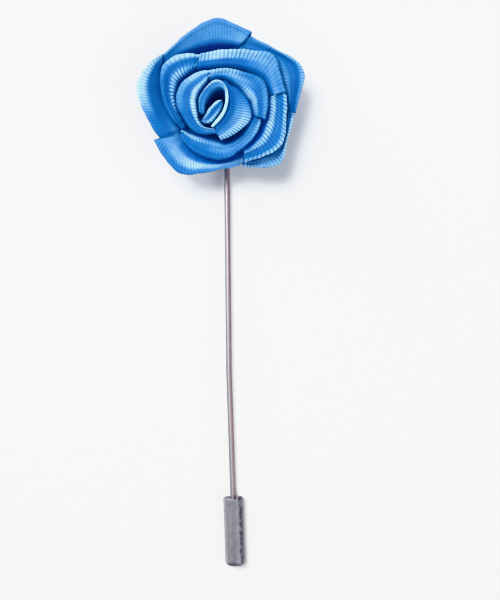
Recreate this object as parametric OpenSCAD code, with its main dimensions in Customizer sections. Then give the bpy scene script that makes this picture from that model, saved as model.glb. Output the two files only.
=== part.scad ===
// Ribbon rose lapel pin: a flower of folded satin ribbon on a straight metal stick,
// with a push-on clutch over the point. It lies on its back, petals up.
// The origin is the middle of the flat underside of the rose's foot. The point is at -Y.

/* [Rose] */
// Width of the open flower across its outer petals
flower_w = 25; // [20:0.5:40]
// Width of the flower where its petals stand on the foot
waist_w = 16; // [14:0.5:18]
// Height of the outer petals above the surface that the pin lies on
outer_h = 8.5; // [7:0.25:12]
// How far the middle petals stand above the outer ones
middle_rise = 2; // [1.5:0.25:4]
// How far the inner petals stand above the middle ones
inner_rise = 0.8; // [0.4:0.1:2]
// How far the bud stands above the inner petals
bud_rise = 0.6; // [0.3:0.1:2]
// Depth of the trough between the two rolled edges of a petal
trough = 0.45; // [0.2:0.05:0.7]
// Depth of the same trough on the petals that slope almost smoothly from edge to edge
faint_trough = 0.1; // [0.05:0.05:0.15]

/* [Foot] */
// Height of the gathered foot under the petals
foot_h = 3.1; // [3:0.1:5]
// Width of the foot's flat underside
foot_w = 12; // [10:0.5:15]
// Gap between the foot and the petals that are glued on it
glue_gap = 0.1; // [0.05:0.05:0.3]

/* [Stick] */
// Diameter of the wire
stick_d = 0.9; // [0.7:0.05:1.1]
// Sideways offset of the wire's straight lower stretch from the rose's middle
stick_x = -0.28; // [-1:0.02:1]
// Distance from the rose's middle to the slight bend
bend_at = 42.2; // [30:0.1:50]
// Angle of the bend
bend_deg = 1.34; // [0.5:0.02:4]
// Radius of the bend
bend_r = 60; // [20:5:120]
// Length of the lower stretch from the bend to the tip of the point
lower_l = 27; // [24:0.5:40]
// Length of the ground point
point_l = 4; // [2:0.5:6]
// How much thinner the wire's radius is where the clutch slides on
grip_step = 0.02; // [0.01:0.01:0.03]
// Length of the shoulder just above the clutch where the wire gets thinner
shoulder_l = 0.5; // [0.3:0.1:1]
// How far the wire runs past the middle of the pad
wire_end = 2.4; // [1:0.1:2.5]
// Diameter of the soldered pad
pad_d = 6.4; // [6:0.1:8]
// Thickness of the soldered pad
pad_t = 0.6; // [0.4:0.1:0.7]
// How deep the wire is soldered into the pad
solder = 0.1; // [0.05:0.05:0.2]
// Clearance of the pad and wire in the foot
pad_gap = 0.05; // [0.03:0.01:0.1]

/* [Clutch] */
// Diameter of the clutch's barrel
clutch_d = 3.1; // [3:0.1:4]
// Length of the clutch
clutch_l = 10.5; // [9:0.5:14]
// Wall of the clutch at the rim of its mouth
rim_t = 0.16; // [0.1:0.02:0.3]
// Depth of the funnel in the mouth
funnel_l = 2; // [1:0.25:3]
// How far the wire reaches into the clutch
grip_l = 8.3; // [5:0.1:8.5]
// Free depth of the bore past the tip of the wire
tip_room = 0.4; // [0.2:0.1:0.6]
// Radial clearance of the clutch on the wire
clutch_gap = 0.05; // [0.02:0.01:0.09]
// Radius of the clutch's rounded end
end_r = 0.7; // [0.3:0.05:0.9]

/* [Hidden] */
$fn = 64;

flower_r = flower_w/2;
petal_foot = foot_h + glue_gap;
middle_h = outer_h + middle_rise;
inner_h = middle_h + inner_rise;
bud_h = inner_h + bud_rise;
stick_r = stick_d/2;
clutch_r = clutch_d/2;
grip_r = stick_r - grip_step;
bore_r = stick_r + clutch_gap;
shown_l = lower_l - grip_l - shoulder_l;
mouth_y = -(bend_at + lower_l - grip_l);
// The bend runs into both straight stretches by this angle, and is this much thinner there
tuck_deg = 0.3;
tuck_step = 0.01;
// The rose is turned a little on the stick
rose_turn = -1.94;
// How quickly the cup of petals widens above the foot
cup_curve = 1.4;
// Places between two rows of a petal's table
petal_steps = 2;

ribbon_light = "#5aa6ee";
ribbon_mid = "#3f8fe0";
ribbon_deep = "#2f7bd0";
nickel = "#b9b4bd";

// Middle of the bud, as shares of the flower's radius
BUD = [-0.09, -0.191];

// Cross-section of a petal from its inner to its outer side.
// Columns: share of the way across, share of the height, share of the trough
SECTION = [
    [0, 0, 0], [0, 0.45, 0], [0, 0.85, 0], [0.06, 0.95, 0], [0.17, 1, 0], [0.34, 1, 0.8],
    [0.5, 1, 1],
    [0.66, 1, 0.8], [0.83, 1, 0], [0.94, 0.95, 0], [1, 0.85, 0], [1, 0.45, 0], [1, 0, 0]];

// Rows of a petal's table follow its length. Columns: angle and share of the flower's radius
// of the inner edge, the same two of the outer edge, and the heights of the inner and the
// outer edge as shares of the petal's own height
OUTER_1 = [
    [149, 0.80, 143.5, 0.855, 0.78, 0.88],
    [143, 0.765, 136, 0.832, 0.78, 0.94],
    [135, 0.715, 125, 0.832, 0.76, 0.97],
    [123.5, 0.652, 116, 0.85, 0.74, 1],
    [113, 0.608, 106.5, 0.883, 0.74, 1],
    [102, 0.578, 98.5, 0.922, 0.74, 1],
    [91.5, 0.575, 91.5, 0.937, 0.74, 1],
    [81, 0.588, 83.5, 0.897, 0.76, 1],
    [74.5, 0.608, 75, 0.865, 0.8, 1],
    [71.8, 0.622, 64.8, 0.842, 0.88, 1]];
OUTER_2 = [
    [69.5, 0.625, 62.8, 0.824, 0.84, 0.92],
    [64.5, 0.64, 57, 0.82, 0.86, 0.93],
    [58, 0.672, 52, 0.826, 0.87, 0.95],
    [49.5, 0.715, 47, 0.84, 0.88, 0.96],
    [43, 0.78, 38.5, 0.878, 0.9, 0.97],
    [36.5, 0.82, 29, 0.962, 0.9, 0.98],
    [31, 0.825, 22.5, 1.019, 0.92, 1],
    [24, 0.80, 16.5, 1.038, 0.94, 1],
    [15, 0.785, 11.5, 1.02, 0.95, 1],
    [7, 0.795, 5.7, 0.975, 0.95, 0.98],
    [0, 0.815, -0.6, 0.941, 0.93, 0.97],
    [-6.5, 0.83, -6.6, 0.922, 0.92, 0.96],
    [-12.5, 0.857, -12, 0.918, 0.92, 0.95]];
OUTER_3 = [
    [-15, 0.84, -14.2, 0.898, 0.88, 0.92],
    [-23, 0.866, -22, 0.909, 0.88, 0.93],
    [-30, 0.897, -29.8, 0.935, 0.88, 0.94],
    [-35.5, 0.925, -35.8, 0.966, 0.87, 0.95],
    [-39.7, 0.94, -40.7, 1.01, 0.86, 0.97],
    [-43.5, 0.936, -44.3, 1.046, 0.84, 0.98],
    [-47.7, 0.925, -48.2, 1.066, 0.83, 0.98],
    [-52.5, 0.902, -53.4, 1.039, 0.84, 0.97],
    [-59.5, 0.88, -60.7, 0.961, 0.86, 0.96],
    [-65, 0.862, -66.5, 0.912, 0.87, 0.95],
    [-69.3, 0.85, -71.5, 0.878, 0.88, 0.93]];
OUTER_4 = [
    [-73.5, 0.822, -74.5, 0.86, 0.86, 0.88],
    [-80, 0.79, -81, 0.859, 0.88, 0.92],
    [-87, 0.785, -88.5, 0.865, 0.9, 0.95],
    [-95, 0.785, -97, 0.903, 0.92, 0.98],
    [-103.5, 0.775, -105, 0.949, 0.93, 1],
    [-111, 0.758, -112.5, 1.016, 0.94, 1],
    [-119, 0.735, -120, 1.042, 0.94, 1],
    [-126.5, 0.712, -128, 1.017, 0.94, 1],
    [-132.5, 0.695, -136, 0.99, 0.94, 0.99],
    [-137.2, 0.685, -145.8, 0.955, 0.95, 0.97]];
OUTER_5 = [
    [-140.5, 0.66, -145.7, 0.885, 0.84, 0.9],
    [-146, 0.648, -151.5, 0.896, 0.8, 0.93],
    [-154.5, 0.648, -161, 0.911, 0.77, 0.96],
    [-165.5, 0.662, -169.5, 0.934, 0.75, 0.99],
    [-175, 0.693, -176.5, 0.966, 0.74, 1],
    [-185, 0.723, -183.5, 0.996, 0.74, 1],
    [-194, 0.754, -190, 1.012, 0.76, 1],
    [-201, 0.784, -198, 0.989, 0.8, 1],
    [-206.5, 0.804, -206.5, 0.935, 0.86, 1],
    [-209.8, 0.815, -215, 0.872, 0.92, 0.97]];
MIDDLE_1 = [
    [136.5, 0.443, 118.3, 0.553, 0.96, 0.95],
    [144.5, 0.461, 128, 0.608, 0.97, 0.96],
    [152, 0.489, 138, 0.677, 0.98, 0.97],
    [158.5, 0.515, 146, 0.723, 0.99, 0.97],
    [165, 0.53, 154, 0.753, 1, 0.96],
    [173, 0.537, 165, 0.724, 1, 0.95],
    [181, 0.543, 174.5, 0.697, 1, 0.94],
    [189, 0.545, 184.5, 0.672, 0.99, 0.93],
    [198, 0.545, 194.5, 0.648, 0.98, 0.92],
    [207, 0.545, 205.5, 0.63, 0.96, 0.91],
    [215, 0.548, 216, 0.622, 0.94, 0.9]];
MIDDLE_2 = [
    [134, 0.418, 115.5, 0.528, 0.94, 0.97],
    [116, 0.356, 104, 0.511, 0.9, 0.99],
    [94, 0.331, 90, 0.515, 0.88, 1],
    [74, 0.348, 75, 0.544, 0.88, 1],
    [58, 0.38, 60.5, 0.60, 0.9, 1],
    [44.5, 0.418, 49, 0.672, 0.92, 1],
    [33, 0.469, 41, 0.75, 0.94, 1],
    [23, 0.522, 33, 0.785, 0.95, 0.99],
    [15, 0.56, 22.5, 0.755, 0.95, 0.98],
    [7, 0.58, 11, 0.752, 0.95, 0.98],
    [-1.2, 0.597, 1.8, 0.779, 0.96, 0.98]];
MIDDLE_3 = [
    [-3.6, 0.603, -0.3, 0.783, 0.97, 0.95],
    [-11.5, 0.616, -8.5, 0.797, 0.99, 0.96],
    [-20.5, 0.636, -17, 0.82, 1, 0.96],
    [-29.5, 0.66, -25.5, 0.862, 1, 0.96],
    [-39, 0.688, -32.5, 0.908, 1, 0.97],
    [-47, 0.706, -38.5, 0.94, 1, 0.97],
    [-54, 0.72, -45.5, 0.93, 1, 0.97],
    [-60.5, 0.73, -55.5, 0.892, 0.99, 0.97],
    [-65, 0.735, -63.5, 0.862, 0.98, 0.96],
    [-67.5, 0.737, -70.3, 0.85, 0.97, 0.95]];
MIDDLE_4 = [
    [-38, 0.486, -34, 0.582, 0.9, 0.92],
    [-45, 0.508, -39, 0.596, 0.92, 0.94],
    [-53, 0.534, -46, 0.622, 0.93, 0.95],
    [-60.5, 0.557, -53, 0.648, 0.94, 0.96],
    [-68, 0.577, -61, 0.668, 0.95, 0.96],
    [-77.5, 0.594, -70.5, 0.698, 0.95, 0.96],
    [-87, 0.592, -81, 0.75, 0.94, 0.97],
    [-94.5, 0.565, -92.5, 0.77, 0.92, 0.97],
    [-105, 0.553, -102, 0.765, 0.92, 0.97],
    [-116, 0.568, -111, 0.75, 0.93, 0.97],
    [-126, 0.59, -120, 0.73, 0.94, 0.96],
    [-133.7, 0.61, -131, 0.69, 0.96, 0.95]];
INNER_1 = [
    [129, 0.225, 116, 0.305, 0.98, 0.97],
    [143.5, 0.212, 133, 0.338, 0.99, 0.97],
    [161, 0.224, 148, 0.384, 1, 0.96],
    [173, 0.248, 161, 0.438, 1, 0.95],
    [184.5, 0.27, 172, 0.478, 1, 0.95],
    [197, 0.294, 183, 0.508, 1, 0.94],
    [209.5, 0.32, 194, 0.516, 1, 0.94],
    [220, 0.354, 206.5, 0.51, 1, 0.94],
    [229, 0.393, 219, 0.512, 0.99, 0.94],
    [238, 0.424, 230, 0.522, 0.98, 0.95],
    [246.5, 0.432, 243.5, 0.515, 0.96, 0.95],
    [256, 0.417, 260, 0.482, 0.93, 0.93]];
INNER_2 = [
    [127.5, 0.206, 113, 0.27, 0.97, 0.98],
    [100.5, 0.188, 93, 0.279, 0.97, 1],
    [69, 0.18, 70.5, 0.302, 0.98, 1],
    [34.5, 0.205, 47, 0.347, 0.98, 1],
    [12.5, 0.25, 32, 0.427, 0.99, 1],
    [-1.5, 0.302, 22, 0.498, 0.99, 1],
    [-10.5, 0.352, 12, 0.543, 1, 1],
    [-16, 0.39, 1, 0.558, 1, 1],
    [-23.5, 0.428, -10.5, 0.57, 0.99, 0.99],
    [-29.5, 0.466, -20.5, 0.588, 0.97, 0.98],
    [-32.8, 0.496, -29.8, 0.612, 0.95, 0.96]];
// This one and the bud's pieces take their angles and shares from the middle of the bud
INNER_3 = [
    [63, 0.367, 50, 0.37, 1, 0.93],
    [46, 0.294, 40.5, 0.376, 1, 0.9],
    [36, 0.262, 28, 0.396, 1, 0.88],
    [27, 0.234, 14.5, 0.427, 1, 0.87],
    [0, 0.194, 2, 0.45, 1, 0.88],
    [-29, 0.178, -11, 0.455, 1, 0.89],
    [-53, 0.186, -24, 0.42, 1, 0.9],
    [-72, 0.217, -40.5, 0.381, 1, 0.92],
    [-80, 0.253, -59, 0.358, 0.99, 0.94],
    [-79, 0.30, -75, 0.35, 0.96, 0.95]];
WRAP = [
    [201, 0.092, 196, 0.165, 0.93, 0.95],
    [155, 0.102, 167, 0.17, 0.93, 0.97],
    [134, 0.118, 146, 0.193, 0.93, 0.98],
    [117, 0.138, 127, 0.225, 0.93, 0.99],
    [93, 0.19, 109, 0.262, 0.93, 1],
    [79.5, 0.233, 92, 0.32, 0.94, 1],
    [68.5, 0.256, 78.5, 0.348, 0.95, 1],
    [60, 0.258, 66.5, 0.336, 0.96, 1],
    [51, 0.236, 52, 0.292, 0.98, 1],
    [36.5, 0.192, 36.5, 0.238, 0.98, 1],
    [18, 0.152, 14, 0.188, 0.98, 1],
    [-14.5, 0.118, -17, 0.157, 0.98, 0.99],
    [-53.5, 0.12, -53, 0.16, 0.97, 0.98],
    [-84, 0.155, -81.5, 0.196, 0.95, 0.96]];
CORE = [
    [223.5, 0.181, 226.5, 0.198, 0.86, 0.88],
    [221, 0.138, 246.5, 0.185, 0.9, 0.9],
    [211, 0.093, 266.5, 0.142, 0.93, 0.9],
    [173, 0.05, 297, 0.096, 0.95, 0.89],
    [101, 0.054, 342, 0.093, 0.96, 0.88],
    [63, 0.104, 376, 0.122, 0.97, 0.9],
    [44.5, 0.152, 396, 0.148, 0.96, 0.94]];

// The cup of petals: how wide it is at a height, against its width at the outer petals
function widening(z) = 1 - exp(-cup_curve*(z - petal_foot)/(outer_h - petal_foot));
function flare(z) = (waist_w + (flower_w - waist_w)*widening(z)/widening(outer_h))/flower_w;

function spot(angle, share, middle) = flower_r*(middle + share*[cos(angle), sin(angle)]);
function petal_rows(table, middle) =
    [for (row = table)
        [spot(row[0], row[1], middle), spot(row[2], row[3], middle), [row[4], row[5]]]];

// A smooth curve through the rows, between the second and the third of four
function between(a, b, c, d, t) =
    b + 0.5*t*((c - a) + t*((2*a - 5*b + 4*c - d) + t*(3*b - a - 3*c + d)));
function stations(rows) = [
    for (i = [0:len(rows) - 2]) for (step = [0:petal_steps - 1])
        between(rows[max(i - 1, 0)], rows[i], rows[i + 1], rows[min(i + 2, len(rows) - 1)],
                step/petal_steps),
    rows[len(rows) - 1]];

function across(pair, share) = pair[0]*(1 - share) + pair[1]*share;
function petal_point(station, cut, crest, dip) =
    let(rise = (crest - petal_foot)*across(station[2], cut[0]),
        z = petal_foot + rise*cut[1] - dip*cut[2])
    concat(across(station, cut[0])*flare(z)/flare(crest), z);

// One folded petal: its section is carried along its stations, and both ends are closed
module petal(table, crest, dip = trough, middle = [0, 0]) {
    line = stations(petal_rows(table, middle));
    cuts = len(SECTION);
    last = len(line) - 1;
    heart = [0.5, 0.5, 0];
    ring = [for (station = line) for (cut = SECTION) petal_point(station, cut, crest, dip)];
    ends = [petal_point(line[0], heart, crest, 0), petal_point(line[last], heart, crest, 0)];
    skin = [for (i = [0:last - 1]) for (j = [0:cuts - 1])
        let(k = (j + 1)%cuts, a = i*cuts, b = (i + 1)*cuts)
        each [[a + j, b + k, a + k], [a + j, b + j, b + k]]];
    caps = [for (j = [0:cuts - 1])
        let(k = (j + 1)%cuts, b = last*cuts)
        each [[len(ring), j, k], [len(ring) + 1, b + k, b + j]]];
    turning = sign(cross(line[0][1] - line[0][0], line[1][0] - line[0][0]));
    faces = concat(skin, caps);
    rotate([0, 0, rose_turn])
        polyhedron(concat(ring, ends),
                   turning > 0 ? faces : [for (f = faces) [f[0], f[2], f[1]]]);
}

module outer_petal(table, dip = trough) { color(ribbon_mid) petal(table, outer_h, dip); }
module middle_petal(table) { color(ribbon_light) petal(table, middle_h); }
module inner_petal(table, dip = trough, middle = [0, 0]) {
    color(ribbon_mid) petal(table, inner_h, dip, middle);
}
module bud_wrap() { color(ribbon_light) petal(WRAP, bud_h, faint_trough, BUD); }
module bud_core() { color(ribbon_deep) petal(CORE, bud_h, faint_trough, BUD); }

// A rod along +Y on the wire's upper stretch, from the bend to a distance past the pad's middle
module upper_rod(radius, past) {
    translate([stick_x + bend_r, -bend_at, clutch_r])
        rotate([0, 0, -bend_deg]) translate([-bend_r, 0, 0])
            rotate([-90, 0, 0]) cylinder(r = radius, h = bend_at + past);
}

// The pad lies on the wire, under the middle of the rose
pad_z = clutch_r + stick_r - solder;
pad_x = stick_x + bend_at*tan(bend_deg);

// The gathered foot, with a pocket for the pad and a way in for the wire
module rose_foot() {
    color(ribbon_deep) difference() {
        cylinder(d1 = foot_w, d2 = waist_w, h = foot_h);
        upper_rod(stick_r + pad_gap, wire_end + pad_gap);
        translate([pad_x, 0, pad_z - pad_gap]) cylinder(d = pad_d + 2*pad_gap, h = pad_t + 2*pad_gap);
    }
}

module pin_stick() {
    color(nickel) {
        upper_rod(stick_r, wire_end);
        translate([pad_x, 0, pad_z]) cylinder(d = pad_d, h = pad_t);
        translate([stick_x + bend_r, -bend_at, clutch_r]) rotate([0, 0, 180 - bend_deg - tuck_deg])
            rotate_extrude(angle = bend_deg + 2*tuck_deg) translate([bend_r, 0])
                circle(stick_r - tuck_step);
        translate([stick_x, -bend_at, clutch_r]) rotate([90, 0, 0]) {
            cylinder(r = stick_r, h = shown_l);
            translate([0, 0, shown_l]) cylinder(r1 = stick_r, r2 = grip_r, h = shoulder_l);
            cylinder(r = grip_r, h = lower_l - point_l);
            translate([0, 0, lower_l - point_l]) cylinder(r1 = grip_r, r2 = grip_r/8, h = point_l);
        }
    }
}

// Profile of the clutch: radius across, distance from the rim of its mouth upwards
module clutch_profile() {
    difference() {
        union() {
            square([clutch_r, clutch_l - end_r]);
            square([clutch_r - end_r, clutch_l]);
            translate([clutch_r - end_r, clutch_l - end_r]) circle(end_r);
        }
        square([bore_r, grip_l + tip_room]);
        polygon([[0, -rim_t], [clutch_r, -rim_t], [clutch_r - rim_t, 0], [bore_r, funnel_l],
                 [0, funnel_l]]);
    }
}

module clutch() {
    color(nickel) translate([stick_x, mouth_y, clutch_r]) rotate([90, 0, 0])
        rotate_extrude() clutch_profile();
}

outer_petal(OUTER_1, faint_trough);  // outer_petal_1
outer_petal(OUTER_2);  // outer_petal_2
outer_petal(OUTER_3);  // outer_petal_3
outer_petal(OUTER_4, faint_trough);  // outer_petal_4
outer_petal(OUTER_5, faint_trough);  // outer_petal_5
middle_petal(MIDDLE_1);  // middle_petal_1
middle_petal(MIDDLE_2);  // middle_petal_2
middle_petal(MIDDLE_3);  // middle_petal_3
middle_petal(MIDDLE_4);  // middle_petal_4
inner_petal(INNER_1);  // inner_petal_1
inner_petal(INNER_2);  // inner_petal_2
inner_petal(INNER_3, faint_trough, BUD);  // inner_petal_3
bud_wrap();
bud_core();
rose_foot();
pin_stick();
clutch();
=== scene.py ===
"""A ribbon rose lapel pin: folded satin petals on a nickel-plated stick with a barrel clutch.

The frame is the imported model's: the pin lies on its back, the rose's foot stands on z = 0 with
its middle at the origin, and the point of the stick is at -Y. Classes hold their sizes in
millimetres, and MM turns them into the scene's metres.
"""

import logging
import math
from dataclasses import dataclass, field
from enum import Enum
from typing import Sequence

import bmesh
import bpy
from mathutils import Matrix, Vector

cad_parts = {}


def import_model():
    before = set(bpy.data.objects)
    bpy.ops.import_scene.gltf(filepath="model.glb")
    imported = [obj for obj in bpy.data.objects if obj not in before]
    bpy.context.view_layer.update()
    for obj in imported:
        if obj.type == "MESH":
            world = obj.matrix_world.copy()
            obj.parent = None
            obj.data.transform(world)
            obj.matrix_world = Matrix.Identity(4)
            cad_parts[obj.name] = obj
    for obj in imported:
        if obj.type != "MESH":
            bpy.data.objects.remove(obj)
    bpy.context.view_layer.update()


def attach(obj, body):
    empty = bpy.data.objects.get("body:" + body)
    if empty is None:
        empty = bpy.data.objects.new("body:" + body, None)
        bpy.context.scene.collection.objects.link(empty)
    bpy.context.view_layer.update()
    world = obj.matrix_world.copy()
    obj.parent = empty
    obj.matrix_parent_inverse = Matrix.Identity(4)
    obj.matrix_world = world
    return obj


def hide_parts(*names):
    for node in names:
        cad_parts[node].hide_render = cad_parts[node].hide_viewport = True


MM = 0.001
SAME_PLACE = 1e-7
WEAVE = "weave"
LOG = logging.getLogger("lapel_pin")

# The frame follows the stick's lower stretch, which leans by this much in the photograph. The
# rose, whose tables were read upright, and the camera are turned to match.
PHOTO_LEAN = math.radians(-1.94)

Colour = tuple[float, float, float, float]
Pair = tuple[float, float]
Row = tuple[float, ...]


class Body(Enum):
    """The two bodies that pieces ride on."""

    PIN = "pin"
    CLUTCH = "clutch"


class Slot(Enum):
    """The finishes that the record names."""

    RIBBON = "ribbon"
    FOOT = "foot_ribbon"
    STICK = "stick_metal"
    CLUTCH = "clutch_metal"


class End(Enum):
    """How an end of a petal is finished."""

    FREE = 0
    TUCKED = 1


class Signal:
    """A shader value that Python arithmetic can be written on."""

    def __init__(self, recipe: "Recipe", socket: bpy.types.NodeSocket) -> None:
        """Keeps the socket and the recipe that it belongs to."""
        self.recipe = recipe
        self.socket = socket

    def __add__(self, other: "Signal | float") -> "Signal":
        """The sum."""
        return self.recipe.math("ADD", self, other)

    def __sub__(self, other: "Signal | float") -> "Signal":
        """The difference."""
        return self.recipe.math("SUBTRACT", self, other)

    def __rsub__(self, other: float) -> "Signal":
        """A number less this value."""
        return self.recipe.math("SUBTRACT", other, self)

    def __mul__(self, other: "Signal | float") -> "Signal":
        """The product."""
        return self.recipe.math("MULTIPLY", self, other)

    __radd__ = __add__
    __rmul__ = __mul__

    def wave(self) -> "Signal":
        """A cosine of whole turns, from 0 at a trough to 1 at a crest."""
        return self.recipe.math("COSINE", self * math.tau) * 0.5 + 0.5

    def clamped(self) -> "Signal":
        """The value kept between 0 and 1."""
        return self.recipe.math("MINIMUM", self.recipe.math("MAXIMUM", self, 0.0), 1.0)

    def ramp(self, low: float, high: float) -> "Signal":
        """A smooth step.

        Args:
            low: Where it leaves 0.
            high: Where it reaches 1.

        Returns:
            The step.
        """
        node = self.recipe.node(
            "ShaderNodeMapRange",
            {"interpolation_type": "SMOOTHSTEP"},
            {"Value": self, "From Min": low, "From Max": high},
        )
        return Signal(self.recipe, node.outputs["Result"])

    def band(self, limits: Sequence[float]) -> "Signal":
        """1 between two limits and 0 outside, by smooth steps up and down."""
        return self.ramp(*limits[0:2]) * (1.0 - self.ramp(*limits[2:4]))


class Recipe:
    """One material's node tree, built by plain calls."""

    def __init__(self, name: str) -> None:
        """Starts an empty material.

        Args:
            name: The material's name.
        """
        self.material = bpy.data.materials.new(name)
        self.material.use_nodes = True
        self.tree = self.material.node_tree
        self.tree.nodes.clear()

    def node(self, kind: str, settings: dict, inputs: dict) -> bpy.types.Node:
        """Adds a node.

        Args:
            kind: The node's type.
            settings: Its properties, and a ramp's stops, set first.
            inputs: A value, signal or socket for each named or numbered input.

        Returns:
            The new node.
        """
        made = self.tree.nodes.new(kind)
        for key, value in settings.items():
            if key == "stops":
                while len(made.color_ramp.elements) < len(value):
                    made.color_ramp.elements.new(1.0)
                for element, (place, colour) in zip(made.color_ramp.elements, value):
                    element.position, element.color = place, (*colour, 1.0)
            else:
                setattr(made, key, value)
        for key, value in inputs.items():
            socket = made.inputs[key]
            if isinstance(value, Signal):
                self.tree.links.new(value.socket, socket)
            elif isinstance(value, bpy.types.NodeSocket):
                self.tree.links.new(value, socket)
            else:
                socket.default_value = value
        return made

    def math(self, operation: str, *values: "Signal | float") -> Signal:
        """A Math node on numbers or signals."""
        made = self.node("ShaderNodeMath", {"operation": operation}, dict(enumerate(values)))
        return Signal(self, made.outputs[0])

    def blend(self, factor: Signal, low: object, high: object) -> bpy.types.NodeSocket:
        """A mix of two colours, or colour sockets, by the factor's share of the second."""
        made = self.node("ShaderNodeMix", {"data_type": "RGBA"}, {0: factor, 6: low, 7: high})
        return made.outputs[2]

    def noise(self, place: bpy.types.NodeSocket, scale: float, detail: float,
              rough: float = 0.5) -> Signal:
        """Soft noise.

        Args:
            place: The coordinates.
            scale: Spots in a unit of them.
            detail: Octaves of finer noise.
            rough: How strong the finer noise is.

        Returns:
            The noise, from 0 to 1 about 0.5.
        """
        made = self.node("ShaderNodeTexNoise", {},
                         {"Vector": place, "Scale": scale, "Detail": detail, "Roughness": rough})
        return Signal(self, made.outputs["Fac"])

    def stretched(self, place: bpy.types.NodeSocket, factors: Row) -> bpy.types.NodeSocket:
        """Coordinates that are scaled along each axis."""
        made = self.node("ShaderNodeVectorMath", {"operation": "MULTIPLY"}, {0: place, 1: factors})
        return made.outputs[0]

    def coordinates(self, kind: str) -> bpy.types.NodeSocket:
        """A Texture Coordinate output, such as Object."""
        return self.node("ShaderNodeTexCoord", {}, {}).outputs[kind]

    def woven(self) -> tuple[bpy.types.NodeSocket, Signal]:
        """The ribbon's own map, and its U alone, which counts the ribs.

        Returns:
            The map as a vector socket, and U.
        """
        vector = self.node("ShaderNodeUVMap", {"uv_map": WEAVE}, {}).outputs[0]
        parts = self.node("ShaderNodeSeparateXYZ", {}, {0: vector})
        return vector, Signal(self, parts.outputs[0])

    def attribute(self, name: str) -> Signal:
        """A number that is kept on the mesh."""
        made = self.node("ShaderNodeAttribute", {"attribute_name": name}, {})
        return Signal(self, made.outputs["Fac"])

    def relief(self, height: Signal, depth: float, strength: float) -> bpy.types.NodeSocket:
        """A bump.

        Args:
            height: The pattern, from 0 in its hollows to 1 on its crests.
            depth: How deep it is, in millimetres.
            strength: How strongly it shows.

        Returns:
            The socket for a shader's Normal.
        """
        made = self.node("ShaderNodeBump", {},
                         {"Height": height, "Distance": depth * MM, "Strength": strength})
        return made.outputs[0]

    def finish(self, shader_inputs: dict) -> bpy.types.Material:
        """Adds the surface shader and the output.

        Args:
            shader_inputs: A value, signal or socket for each of the shader's named inputs.

        Returns:
            The material.
        """
        shader = self.node("ShaderNodeBsdfPrincipled", {}, shader_inputs)
        self.node("ShaderNodeOutputMaterial", {}, {"Surface": shader.outputs[0]})
        return self.material


@dataclass(frozen=True)
class Satin:
    """Ribbed satin ribbon, whose colour runs from its shade to its lit rib crests.

    The mesh gives three numbers at each point: shine, how brightly the satin is lit, painted into
    its colour as light and shade;
    ribbing, how much its ribs show; and the strength of a painted glow, an emission that lifts the
    shade of the walls in the gaps.
    """

    name: str
    tones: tuple[tuple[float, tuple[float, float, float]], ...] = (
        (0.0, (0.0005, 0.011, 0.11)), (0.14, (0.004, 0.06, 0.235)), (0.34, (0.015, 0.124, 0.35)),
        (0.62, (0.09, 0.266, 0.51)), (1.0, (0.58, 0.92, 1.0)))
    tone_floor: float = 0.113
    lit_share: float = 0.665
    cloud_share: float = 0.16
    trough_shade: float = 0.66
    smooth_gain: float = 1.08
    ribbed_loss: float = 0.08
    cloud_scale: float = 300.0
    cloud_least: float = 0.7
    cloud_gain: float = 0.6
    grain_weave: Row = (1.0, 60.0, 1.0)
    grain_least: float = 0.55
    grain_gain: float = 0.9
    thread_weave: Row = (10.0, 190.0, 1.0)
    roughness: float = 0.5
    grain_roughness: float = 0.12
    shine_polish: float = 0.14
    rib_relief: float = 0.5
    thread_relief: float = 0.4
    relief_depth: float = 0.02
    relief_strength: float = 0.5
    specular: float = 0.16
    sheen: float = 0.04
    sheen_roughness: float = 0.3
    sheen_tint: Colour = (0.2, 0.55, 1.0, 1.0)
    # Painted glow: emission colours that lift the shade of open walls and of deep ones.
    open_glow: Colour = (0.0, 0.003, 0.022, 1.0)
    deep_glow: Colour = (0.003, 0.06, 0.32, 1.0)

    def make(self) -> bpy.types.Material:
        """Builds the satin on the ribbon's own map: ribs along U, the ribbon's width along V.

        Returns:
            The material.
        """
        recipe = Recipe(self.name)
        weave, count = recipe.woven()
        shine, ribbing = recipe.attribute("shine"), recipe.attribute("ribbing")
        rib = count.wave()
        cloud = recipe.noise(recipe.coordinates("Object"), self.cloud_scale, 3.0)
        grain = recipe.noise(recipe.stretched(weave, self.grain_weave), 1.0, 2.0)
        thread = recipe.noise(recipe.stretched(weave, self.thread_weave), 1.0, 2.0)
        # Painted light and shade: the shine brightens the colour, less in the rib troughs.
        lit = shine * (1.0 - (1.0 - rib) * ribbing * self.trough_shade)
        lit = lit * (self.smooth_gain - ribbing * self.ribbed_loss)
        lit = lit * (cloud * self.cloud_gain + self.cloud_least)
        lit = lit * (grain * self.grain_gain + self.grain_least)
        tone = lit * self.lit_share + cloud * self.cloud_share + self.tone_floor
        base = recipe.node("ShaderNodeValToRGB", {"stops": self.tones}, {0: tone.clamped()})
        pattern = rib * ribbing * self.rib_relief + thread * self.thread_relief
        # Painted glow: an emission that lifts the shade of the walls in the gaps, stronger on deep
        # ones.
        glow = recipe.blend(recipe.attribute("seep"), self.open_glow, self.deep_glow)
        return recipe.finish({
            "Base Color": base.outputs[0],
            "Roughness": self.roughness + grain * self.grain_roughness - shine * self.shine_polish,
            "Normal": recipe.relief(pattern, self.relief_depth, self.relief_strength),
            "Specular IOR Level": self.specular,
            "Sheen Weight": self.sheen,
            "Sheen Roughness": self.sheen_roughness,
            "Sheen Tint": self.sheen_tint,
            "Emission Color": glow,
            "Emission Strength": 1.0,
        })


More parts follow.
